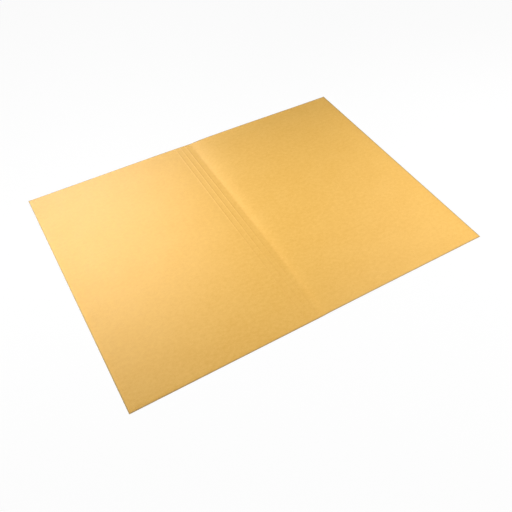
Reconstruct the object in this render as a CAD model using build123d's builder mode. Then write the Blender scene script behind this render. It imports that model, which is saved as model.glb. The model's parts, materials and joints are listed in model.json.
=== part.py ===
"""Square-cut manila folder, lying open and flat with its inside up.

One sheet of board, creased along a main fold and along capacity creases beside it. The panels between
the creases are stiff. Each crease is a living hinge: a band pressed by the creasing rule into a groove
on the outside and a bead on the inside, here a knuckle that its two panels turn about.

Origin at the middle of the main fold on the resting plane, +X towards the right leaf, +Y along the fold,
+Z up out of the inside face. All sizes are in millimetres.
"""

import os
from math import asin, degrees, hypot

from build123d import *

# Sheet
fold_length = 349.0  # size of the sheet along the folds
leaf_width = 242.0  # main fold to fore edge, the same for both leaves
board = 0.4  # caliper of the board

# Capacity creases, on the left leaf only
crease_count = 3
crease_pitch = 8.0  # main fold to first crease, and crease to crease

# Crease section
rule_width = 0.7  # width of the creasing rule
fold_radius = 0.12  # inside radius of a closed fold
bead_height = 0.2  # rise of a capacity crease over the inside face
groove_depth = 0.15  # depth of the pressed groove in the outside face
crease_clearance = 0.1  # running gap between a bead and the panel edges beside it

# The board folds about an axis one inside radius above its inside face
axis_height = board + fold_radius
# The channel that the rule presses the board into is wider than the rule by 1.5 calipers
groove_width = rule_width + 1.5 * board
bead_radius = hypot(groove_width / 2, axis_height)
edge_radius = bead_radius + crease_clearance

# Crease lines from right to left: the main fold first
crease_lines = [-crease_pitch * number for number in range(crease_count + 1)]

os.makedirs("parts", exist_ok=True)


def export_named(part, name):
    """Label a finished piece and write it under its own name."""
    part.label = name
    export_step(part, f"parts/{name}.step")


def make_panel(name, left, right, hinged_on):
    """Flat panel of board from left to right, its hinged edges hollowed round their crease lines."""
    with BuildPart() as panel:
        with BuildSketch(Plane.XZ):
            with Locations(((left + right) / 2, board / 2)):
                Rectangle(right - left, board)
            with Locations(*[(line, axis_height) for line in hinged_on]):
                Circle(edge_radius, mode=Mode.SUBTRACT)
        extrude(amount=fold_length / 2, both=True)
    export_named(panel.part, name)


def make_bead(name, line, rise):
    """Pressed band of one crease: round sides about the fold axis, grooved below, raised above by rise."""
    foot_angle = -degrees(asin(axis_height / bead_radius))
    shoulder_angle = -degrees(asin(fold_radius / bead_radius))
    side_sweep = shoulder_angle - foot_angle
    section = Plane.XZ.shift_origin((line, 0, axis_height))

    with BuildPart() as bead:
        with BuildSketch(section):
            with BuildLine():
                right_side = CenterArc((0, 0), bead_radius, foot_angle, side_sweep)
                left_side = CenterArc((0, 0), bead_radius, 180 - foot_angle, -side_sweep)
                ThreePointArc(left_side @ 0, (0, groove_depth - axis_height), right_side @ 0)
                if rise > 0:
                    ThreePointArc(left_side @ 1, (0, rise - fold_radius), right_side @ 1)
                else:
                    Line(left_side @ 1, right_side @ 1)
            make_face()
        extrude(amount=fold_length / 2, both=True)
    export_named(bead.part, name)


# Leaves
make_panel("right_leaf", 0, leaf_width, [crease_lines[0]])
make_panel("left_leaf", -leaf_width, crease_lines[-1], [crease_lines[-1]])

# Strips of the spine, counted from the main fold
for number in range(1, crease_count + 1):
    inner_line = crease_lines[number - 1]
    outer_line = crease_lines[number]
    make_panel(f"spine_strip_{number}", outer_line, inner_line, [outer_line, inner_line])

# The main fold has been folded flat once, so its bead is pressed level with the inside face
make_bead("main_fold_bead", crease_lines[0], rise=0)
for number in range(1, crease_count + 1):
    make_bead(f"crease_{number}_bead", crease_lines[number], rise=bead_height)
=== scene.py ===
"""Looks of a manila folder that lies open and flat: sheet meshes, board finish, studio and camera.

Everything is in metres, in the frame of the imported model. The main fold runs along Y through the
origin, the right leaf lies towards +X, and the inside of the folder is up.
"""

import json
import math

import bpy
import numpy as np
from mathutils import Matrix, Vector


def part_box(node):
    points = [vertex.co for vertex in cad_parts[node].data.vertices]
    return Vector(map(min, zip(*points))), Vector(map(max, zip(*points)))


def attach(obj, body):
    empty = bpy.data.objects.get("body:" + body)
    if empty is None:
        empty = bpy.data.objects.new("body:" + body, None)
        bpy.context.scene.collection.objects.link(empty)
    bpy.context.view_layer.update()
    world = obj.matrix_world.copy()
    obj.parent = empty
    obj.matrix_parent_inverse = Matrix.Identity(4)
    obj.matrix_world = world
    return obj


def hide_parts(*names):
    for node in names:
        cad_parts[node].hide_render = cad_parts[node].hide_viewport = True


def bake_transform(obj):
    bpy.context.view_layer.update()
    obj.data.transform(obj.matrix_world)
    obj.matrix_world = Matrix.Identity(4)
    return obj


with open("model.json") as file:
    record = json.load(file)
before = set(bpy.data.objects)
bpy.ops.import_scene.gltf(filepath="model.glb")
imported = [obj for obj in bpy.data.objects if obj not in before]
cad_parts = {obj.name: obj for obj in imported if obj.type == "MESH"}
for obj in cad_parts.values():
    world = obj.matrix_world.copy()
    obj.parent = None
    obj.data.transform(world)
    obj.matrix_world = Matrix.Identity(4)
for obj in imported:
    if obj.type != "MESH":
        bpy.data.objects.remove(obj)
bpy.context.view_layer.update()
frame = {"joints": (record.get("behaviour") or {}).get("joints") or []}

MM = 0.001

# The sheet, as the frame gives it
AXES = {joint["name"]: Vector(joint["pos_m"]) for joint in frame["joints"]}
MAIN_FOLD = AXES["main_fold"].x
CREASES = [AXES[f"crease_{number}_fold"].x for number in (1, 2, 3)]
LEFT_LOW, LEFT_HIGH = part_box("left_leaf")
FORE_LEFT = LEFT_LOW.x
FORE_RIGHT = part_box("right_leaf")[1].x
NEAR_END = LEFT_LOW.y
FAR_END = LEFT_HIGH.y
BOARD = LEFT_HIGH.z

# Crease section
BAND_HALF = 1.2 * MM  # half the width of the band piece at each crease
BEAD_HALF = 0.85 * MM
SWELL_HALF = 3.6 * MM  # half the width over which the board swells softly round a bead
SWELL_SHARE = 0.25  # part of a bead's rise that is in this swell
BEAD_RISE_FAR = 0.13 * MM  # rise of a capacity crease over the inside face
BEAD_RISE_NEAR = 0.05 * MM
GROOVE_HALF = 0.65 * MM
GROOVE_DEPTH = 0.12 * MM  # depth of the pressed groove in the outside face

# How the open sheet stands off the floor
VALLEY = MAIN_FOLD - 0.8 * MM  # lowest line, slightly left of the fold's axis
VALLEY_EASE = 2.4 * MM  # rounding of the valley's bottom
RIGHT_SLOPE = 0.084  # climb of the right leaf from the valley
RIGHT_REACH_FAR = 17.0 * MM  # distance over which this climb levels out
RIGHT_REACH_NEAR = 6.0 * MM
STRIP_SLOPE_FAR = 0.022  # climb of the strips from the valley
STRIP_SLOPE_NEAR = 0.048
STEP_START = -60.0 * MM  # from here to the near end the valley turns into a soft step
STEP_RISE = 0.75 * MM
STEP_REACH = 3.6 * MM
SINK_START = 50.0 * MM  # distance from the main fold where the sinking starts and the waves are full
WAVE_HEIGHT = 0.05 * MM
WAVES = [(23, 9, 0.6), (11, -17, 2.1)]  # radians per metre along X and along Y, and phase

# Cut edge of the sheet
RIM_RADIUS = 0.1 * MM
RIM_ANGLES = [90, 65, 40, 20, 0]  # where the rounding has lines of points, in degrees

# Mesh
LEAF_COLUMNS = 64
LEAF_CROWDING = 1.9  # power that crowds a leaf's columns towards its hinged edge
STRIP_COLUMNS = 14
BAND_COLUMNS = 25
ROW_COUNT = 65
SHARP_ANGLE = 40  # degrees
UV_NAME = "sheet_plan"

# Colours, as 8-bit screen values
BOARD_PALE = (237, 188, 91)
BOARD_DEEP = (225, 170, 64)
PRESSED_PALE = (237, 187, 90)
PRESSED_DEEP = (224, 168, 63)
FLECK_COLOUR = (169, 116, 54)
# colour of the painted shade in a thin band along the cut edges
EDGE_SHADE_COLOUR = (162, 133, 83)

# Marks in the board: size along and across their direction, and the direction in degrees from +X
CLOUD_SIZE = (42 * MM, 30 * MM)
CLOUD_ANGLE = 20
FELT_SIZE = (6 * MM, 4 * MM)
FIBRE_SIZE = (3.2 * MM, 0.32 * MM)
FIBRE_ANGLES = (12, 74, -48)
FIBRE_SHARES = (0.4, 0.3, 0.3)
FLECK_SIZE = (1.6 * MM, 0.5 * MM)
FLECK_ANGLE = -30
TOOTH_SIZE = (0.35 * MM, 0.35 * MM)

# How the marks show in the colour
CLOUD_TONE = 0.15
FELT_TONE = 0.4
WEAVE_TONE = 0.9
TONE_DEEP = 0.525  # sum of the tones at which the board has its deep colour
TONE_PALE = 0.925  # sum of the tones at which it has its pale colour
FLECK_START = 0.72
FLECK_FULL = 0.82
FLECK_STRENGTH = 0.35
EDGE_SHADE_INNER = 1.7 * MM  # distance from a cut edge at which the painted edge shade starts
EDGE_SHADE_OUTER = 0.4 * MM  # distance from a cut edge within which the painted edge shade is full
EDGE_SHADE_STRENGTH = 0.8

# How the marks show in the surface
WEAVE_RELIEF = 0.8
TOOTH_RELIEF = 0.5
RELIEF_DEPTH = 0.03 * MM
RELIEF_STRENGTH = 0.35
BOARD_ROUGHNESS = 0.49
PRESSED_ROUGHNESS = 0.45
ROUGHNESS_SPREAD = 0.05  # change of the roughness to either side, from smooth felt to rough felt
FELT_SMOOTH = 0.3
FELT_ROUGH = 0.7
SPECULAR_LEVEL = 0.44

# Studio
FLOOR_HALF = 6.0
FLOOR_GAP = 0.15 * MM  # the floor lies this far below the sheet, so that the two faces don't fight
FLOOR_GREY = 0.95
FLOOR_WHITE_SHARE = 0.95  # part of the floor's look that is plain white, the rest takes the shadow
AMBIENT = 0.184


def soft_step(value, start, end):
    """0 before start, 1 after end, and an even ramp with soft ends between."""
    share = np.clip((value - start) / (end - start), 0, 1)
    return share * share * (3 - 2 * share)


def along_fold(y, near, far):
    """Value that changes evenly from the near end of the folds to the far end."""
    return near + (far - near) * (y - NEAR_END) / (FAR_END - NEAR_END)


def climb(distance, slope, reach):
    """Height of a climb that starts at a slope and levels out within about twice the reach."""
    return slope * reach * np.tanh(distance / reach)


def stand_off(x, y):
    """Height of the outside face over the floor.

    The sheet is lowest along the main fold and climbs from it to both sides. Towards the near end the
    valley turns into a soft step up to the right leaf. Both leaves sink back towards their fore edges.
    """
    from_fold = np.sqrt((x - VALLEY) ** 2 + VALLEY_EASE**2) - VALLEY_EASE
    right = climb(from_fold, RIGHT_SLOPE, along_fold(y, RIGHT_REACH_NEAR, RIGHT_REACH_FAR))
    strip_slope = along_fold(y, STRIP_SLOPE_NEAR, STRIP_SLOPE_FAR)
    left = climb(from_fold, strip_slope, MAIN_FOLD - CREASES[-1])
    valley = np.where(x > VALLEY, right, left)

    step = STEP_RISE * (1 + np.tanh((x - MAIN_FOLD) / STEP_REACH)) / 2
    valley_share = soft_step(y, NEAR_END, STEP_START)
    rise = valley * valley_share + step * (1 - valley_share)

    across = np.abs(x - MAIN_FOLD)
    sink = 1 - soft_step(across, SINK_START, FORE_RIGHT)
    waves = sum(np.sin(along_x * x + along_y * y + phase) for along_x, along_y, phase in WAVES)
    lift = WAVE_HEIGHT * (1 + waves / len(WAVES)) * soft_step(across, 0, SINK_START)
    return rise * sink + lift


def ridge(x, line, half_width):
    """Rounded ridge of unit height along one crease line."""
    reach = np.clip((x - line) / half_width, -1, 1)
    return np.cos(reach * math.pi / 2) ** 2


def bead_section(x, line):
    """Section of a raised crease, of unit height: a narrow crest on a wide soft swell."""
    crest = (1 - SWELL_SHARE) * ridge(x, line, BEAD_HALF)
    return crest + SWELL_SHARE * ridge(x, line, SWELL_HALF)


def rim_drop(x, y):
    """How far the rounded cut edge falls away from either face."""
    to_fore = np.minimum(FORE_RIGHT - x, x - FORE_LEFT)
    to_end = np.minimum(FAR_END - y, y - NEAR_END)
    inset = np.clip(np.minimum(to_fore, to_end), 0, RIM_RADIUS)
    return RIM_RADIUS - np.sqrt(RIM_RADIUS**2 - (RIM_RADIUS - inset) ** 2)


def inside_face(x, y):
    """Height of the upper face, with the beads of the capacity creases."""
    rise = along_fold(y, BEAD_RISE_NEAR, BEAD_RISE_FAR)
    beads = rise * sum(bead_section(x, line) for line in CREASES)
    return stand_off(x, y) + BOARD + beads - rim_drop(x, y)


def outside_face(x, y):
    """Height of the lower face, with a pressed groove along every crease."""
    grooves = GROOVE_DEPTH * sum(ridge(x, line, GROOVE_HALF) for line in [MAIN_FOLD, *CREASES])
    return stand_off(x, y) + grooves + rim_drop(x, y)


def rim_insets():
    """Distances from a cut edge at which its rounding needs a line of points."""
    return [RIM_RADIUS * (1 - math.sin(math.radians(angle))) for angle in RIM_ANGLES]


def rows():
    """Places along the fold, the same for every piece, so that neighbours share their seam points."""
    rim = np.array(rim_insets())
    body = np.linspace(NEAR_END, FAR_END, ROW_COUNT)[1:-1]
    return np.concatenate([NEAR_END + rim, body, (FAR_END - rim)[::-1]])


def leaf_columns(hinged, fore):
    """Places across a leaf, crowded towards its hinged edge and along its cut edge."""
    share = np.linspace(0, 1, LEAF_COLUMNS)[:-1] ** LEAF_CROWDING
    inward = math.copysign(1, hinged - fore)
    rim = fore + inward * np.array(rim_insets())
    return np.sort(np.concatenate([hinged + (fore - hinged) * share, rim]))


def sheet_piece(name, columns, material):
    """Closed piece of the sheet over these columns, with its plan position as its UV map."""
    x, y = np.meshgrid(columns, rows(), indexing="ij")
    top = np.stack([x, y, inside_face(x, y)], axis=-1).reshape(-1, 3)
    bottom = np.stack([x, y, outside_face(x, y)], axis=-1).reshape(-1, 3)
    points = np.concatenate([top, bottom])

    index = np.arange(x.size).reshape(x.shape)
    corners = [index[:-1, :-1], index[1:, :-1], index[1:, 1:], index[:-1, 1:]]
    over = np.stack(corners, axis=-1).reshape(-1, 4)
    under = over[:, ::-1] + x.size
    border = np.concatenate([index[:-1, 0], index[-1, :-1], index[:0:-1, -1], index[0, :0:-1]])
    onward = np.roll(border, -1)
    walls = np.stack([border + x.size, onward + x.size, onward, border], axis=-1)
    faces = np.concatenate([over, under, walls])

    mesh = bpy.data.meshes.new(name)
    mesh.from_pydata(points.tolist(), [], faces.tolist())
    corner_points = np.empty(len(mesh.loops), dtype=np.int32)
    mesh.loops.foreach_get("vertex_index", corner_points)
    plan = mesh.uv_layers.new(name=UV_NAME)
    plan.uv.foreach_set("vector", points[corner_points, :2].astype(np.float32).ravel())
    mesh.shade_smooth()
    mesh.set_sharp_from_angle(angle=math.radians(SHARP_ANGLE))
    mesh.materials.append(material)
    piece = bpy.data.objects.new(name, mesh)
    bpy.context.scene.collection.objects.link(piece)
    return piece


class Nodes:
    """Shorthand for building a node tree."""

    def __init__(self, tree):
        self.tree = tree
        tree.nodes.clear()

    def add(self, kind, settings=None, **inputs):
        """New node, each of its inputs given as a value or as another node's output."""
        node = self.tree.nodes.new(kind)
        for key, value in (settings or {}).items():
            setattr(node, key, value)
        for key, value in inputs.items():
            socket = self.socket(node, key)
            if isinstance(value, bpy.types.NodeSocket):
                self.tree.links.new(value, socket)
            else:
                socket.default_value = value
        return node

    @staticmethod
    def socket(node, key):
        """Input of a node by its number, as in_0, or by its name in lower case with underscores."""
        if key.startswith("in_"):
            return node.inputs[int(key.removeprefix("in_"))]
        wanted = key.replace("_", " ")
        return next(entry for entry in node.inputs if entry.name.lower() == wanted and entry.enabled)

    def math(self, operation, *values):
        """Math node on one to three values."""
        inputs = {f"in_{place}": value for place, value in enumerate(values)}
        return self.add("ShaderNodeMath", {"operation": operation}, **inputs).outputs[0]

    def total(self, *terms):
        """Sum of values, each times its own weight."""
        result = 0.0
        for value, weight in terms:
            result = self.math("MULTIPLY_ADD", value, weight, result)
        return result

    def ramp(self, value, low, high, to_low=0.0, to_high=1.0):
        """Smooth step of a value from one range to another."""
        node = self.add(
            "ShaderNodeMapRange",
            {"interpolation_type": "SMOOTHSTEP"},
            value=value,
            from_min=low,
            from_max=high,
            to_min=to_low,
            to_max=to_high,
        )
        return node.outputs[0]

    def marks(self, plan, size, angle=0, detail=3.0, roughness=0.5):
        """Noise around 0.5, in marks of a size along the angle and across it."""
        place = self.add(
            "ShaderNodeMapping",
            {"vector_type": "TEXTURE"},
            vector=plan,
            rotation=(0, 0, math.radians(angle)),
            scale=(*size, 1),
        )
        noise = self.add(
            "ShaderNodeTexNoise",
            vector=place.outputs[0],
            scale=1.0,
            detail=detail,
            roughness=roughness,
        )
        return noise.outputs[0]

    def blend(self, factor, first, second):
        """Colour mix, from the first colour at 0 to the second at 1."""
        settings = {"data_type": "RGBA", "blend_type": "MIX"}
        return self.add("ShaderNodeMix", settings, factor=factor, a=first, b=second).outputs["Result"]


def linear(colour):
    """Colour for a shader from 8-bit screen values, by the sRGB curve."""
    screen = np.array(colour) / 255
    light = np.where(screen <= 0.04045, screen / 12.92, ((screen + 0.055) / 1.055) ** 2.4)
    return (*light.tolist(), 1.0)


def edge_distance(nodes, plan):
    """Distance from a point of the sheet to the nearest cut edge."""
    place = nodes.add("ShaderNodeSeparateXYZ", vector=plan).outputs
    to_fore = nodes.math("SUBTRACT", FORE_RIGHT, nodes.math("ABSOLUTE", place["X"]))
    to_end = nodes.math("SUBTRACT", FAR_END, nodes.math("ABSOLUTE", place["Y"]))
    return nodes.math("MINIMUM", to_fore, to_end)


def board_finish(name, pale, deep, roughness):
    """Manila board: yellow pulp with fine fibres and flecks, a matte face and painted shade along the
    cut edges.
    """
    material = bpy.data.materials.new(name)
    material.use_nodes = True
    nodes = Nodes(material.node_tree)
    plan = nodes.add("ShaderNodeUVMap", {"uv_map": UV_NAME}).outputs[0]

    cloud = nodes.marks(plan, CLOUD_SIZE, CLOUD_ANGLE)
    felt = nodes.marks(plan, FELT_SIZE, detail=4.0, roughness=0.6)
    fibres = [nodes.marks(plan, FIBRE_SIZE, angle, detail=2.0) for angle in FIBRE_ANGLES]
    weave = nodes.total(*zip(fibres, FIBRE_SHARES))
    tone = nodes.total((cloud, CLOUD_TONE), (felt, FELT_TONE), (weave, WEAVE_TONE))
    colour = nodes.blend(nodes.ramp(tone, TONE_DEEP, TONE_PALE), linear(deep), linear(pale))

    flecks = nodes.marks(plan, FLECK_SIZE, FLECK_ANGLE, detail=1.0)
    flecked = nodes.ramp(flecks, FLECK_START, FLECK_FULL, 0, FLECK_STRENGTH)
    colour = nodes.blend(flecked, colour, linear(FLECK_COLOUR))

    # painted shade: the board turns darker in a thin band along the cut edges
    edge_shade = nodes.ramp(edge_distance(nodes, plan), EDGE_SHADE_OUTER, EDGE_SHADE_INNER, EDGE_SHADE_STRENGTH, 0)
    colour = nodes.blend(edge_shade, colour, linear(EDGE_SHADE_COLOUR))

    tooth = nodes.marks(plan, TOOTH_SIZE, roughness=0.6)
    relief = nodes.total((weave, WEAVE_RELIEF), (tooth, TOOTH_RELIEF))
    bump = nodes.add("ShaderNodeBump", strength=RELIEF_STRENGTH, distance=RELIEF_DEPTH, height=relief)
    smoothest = roughness - ROUGHNESS_SPREAD
    roughest = roughness + ROUGHNESS_SPREAD

    shader = nodes.add(
        "ShaderNodeBsdfPrincipled",
        base_color=colour,
        roughness=nodes.ramp(felt, FELT_SMOOTH, FELT_ROUGH, smoothest, roughest),
        normal=bump.outputs[0],
        specular_ior_level=SPECULAR_LEVEL,
    )
    nodes.add("ShaderNodeOutputMaterial", surface=shader.outputs[0])
    return material


def seen_directly(nodes):
    """1 for the rays that show a background: camera, glossy and transmission rays."""
    path = nodes.add("ShaderNodeLightPath").outputs
    shown = nodes.math("MAXIMUM", path["Is Camera Ray"], path["Is Glossy Ray"])
    return nodes.math("MAXIMUM", shown, path["Is Transmission Ray"])


def studio_floor():
    """Wide white floor that keeps a faint shadow."""
    mesh = bpy.data.meshes.new("floor")
    outline = [(-1, -1), (1, -1), (1, 1), (-1, 1)]
    corners = [(FLOOR_HALF * x, FLOOR_HALF * y, -FLOOR_GAP) for x, y in outline]
    mesh.from_pydata(corners, [], [(0, 1, 2, 3)])

    material = bpy.data.materials.new("floor")
    material.use_nodes = True
    nodes = Nodes(material.node_tree)
    paper = nodes.add("ShaderNodeBsdfDiffuse", color=(FLOOR_GREY, FLOOR_GREY, FLOOR_GREY, 1))
    white = nodes.add("ShaderNodeEmission", color=(1, 1, 1, 1), strength=1.0)
    share = nodes.math("MULTIPLY", seen_directly(nodes), FLOOR_WHITE_SHARE)
    mix = nodes.add("ShaderNodeMixShader", in_0=share, in_1=paper.outputs[0], in_2=white.outputs[0])
    nodes.add("ShaderNodeOutputMaterial", surface=mix.outputs[0])
    mesh.materials.append(material)

    floor = bpy.data.objects.new("floor", mesh)
    bpy.context.scene.collection.objects.link(floor)


def studio_world():
    """Even soft light from all round, behind a white backdrop."""
    world = bpy.data.worlds.new("studio")
    bpy.context.scene.world = world
    world.use_nodes = True
    nodes = Nodes(world.node_tree)
    strength = nodes.ramp(seen_directly(nodes), 0, 1, AMBIENT, 1.0)
    background = nodes.add("ShaderNodeBackground", color=(1, 1, 1, 1), strength=strength)
    nodes.add("ShaderNodeOutputWorld", surface=background.outputs[0])


def softbox(name, position, aim, size, spread, power, shines=True):
    """Square softbox with a grid that narrows its light to a cone of the given spread.

    One that doesn't shine lights the board without a mirror image of itself.
    """
    light = bpy.data.lights.new(name, "AREA")
    light.shape = "SQUARE"
    light.size = size
    light.spread = math.radians(spread)
    light.energy = power
    lamp = bpy.data.objects.new(name, light)
    lamp.location = position
    lamp.rotation_euler = (Vector(aim) - Vector(position)).to_track_quat("-Z", "Y").to_euler()
    lamp.visible_camera = False
    lamp.visible_glossy = shines
    bpy.context.scene.collection.objects.link(lamp)


def studio_lights():
    """Four softboxes: the first rakes over the creases, the last lights the far left corner weakly."""
    softbox(
        "raking_light",
        position=(-1.72, 0.07, 0.42),
        aim=(0.18, 0.05, 0),
        size=0.3,
        spread=21,
        power=0.81,
        shines=False,
    )
    softbox(
        "right_light",
        position=(0.53, -0.16, 0.477),
        aim=(0.456, -0.297, 0),
        size=0.67,
        spread=82,
        power=1.48,
    )
    softbox(
        "back_light",
        position=(-0.13, 0.89, 0.80),
        aim=(-0.15, 0.01, 0),
        size=0.61,
        spread=41,
        power=1.10,
    )
    softbox(
        "corner_light",
        position=(-0.45, 0.20, 0.60),
        aim=(-0.26, 0.18, 0),
        size=0.25,
        spread=40,
        power=0.03,
    )


def photo_camera():
    """Camera at the photograph's viewing angle, for a square picture."""
    aim = Vector((-35.9, -53.1, 0)) * MM
    azimuth = math.radians(-30.64)
    elevation = math.radians(50.35)
    roll = math.radians(0.71)
    distance = 706.1 * MM

    data = bpy.data.cameras.new("camera")
    data.sensor_width = 36.0
    data.lens = 39.92
    data.shift_x = 0.02
    data.clip_start = 0.05
    level = math.cos(elevation)
    back = Vector((math.sin(azimuth) * level, -math.cos(azimuth) * level, math.sin(elevation)))
    camera = bpy.data.objects.new("camera", data)
    turn = (-back).to_track_quat("-Z", "Y").to_matrix() @ Matrix.Rotation(roll, 3, "Z")
    camera.matrix_world = Matrix.Translation(aim + back * distance) @ turn.to_4x4()
    bpy.context.scene.collection.objects.link(camera)
    bpy.context.scene.camera = camera


def add_leaves(board):
    """The two leaves, each from its hinged edge to its fore edge."""
    left_hinged = CREASES[-1] - BAND_HALF
    right_hinged = MAIN_FOLD + BAND_HALF
    leaves = [("left", left_hinged, FORE_LEFT), ("right", right_hinged, FORE_RIGHT)]
    for side, hinged, fore in leaves:
        leaf = sheet_piece(f"{side}_leaf_board", leaf_columns(hinged, fore), board)
        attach(leaf, side)
        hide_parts(f"{side}_leaf")


def add_strips(board):
    """The strips of the spine, counted from the main fold."""
    inner_lines = [MAIN_FOLD, *CREASES]
    for number, (inner, outer) in enumerate(zip(inner_lines, CREASES), start=1):
        columns = np.linspace(outer + BAND_HALF, inner - BAND_HALF, STRIP_COLUMNS)
        strip = sheet_piece(f"spine_strip_{number}_board", columns, board)
        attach(strip, f"strip_{number}")
        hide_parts(f"spine_strip_{number}")


def add_bands(pressed):
    """A band of pressed board across each crease."""
    for joint in frame["joints"]:
        crease = joint["name"].removesuffix("_fold")
        bead = "main_fold_bead" if joint["name"] == "main_fold" else f"{crease}_bead"
        axis = AXES[joint["name"]]
        columns = np.linspace(axis.x - BAND_HALF, axis.x + BAND_HALF, BAND_COLUMNS)
        band = sheet_piece(bead.replace("bead", "band"), columns, pressed)
        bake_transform(band)
        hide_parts(bead)


board_material = board_finish("manila_board", BOARD_PALE, BOARD_DEEP, BOARD_ROUGHNESS)
pressed_material = board_finish("pressed_board", PRESSED_PALE, PRESSED_DEEP, PRESSED_ROUGHNESS)
add_leaves(board_material)
add_strips(board_material)
add_bands(pressed_material)
studio_floor()
studio_world()
studio_lights()
photo_camera()
bpy.context.scene.view_settings.view_transform = "Standard"
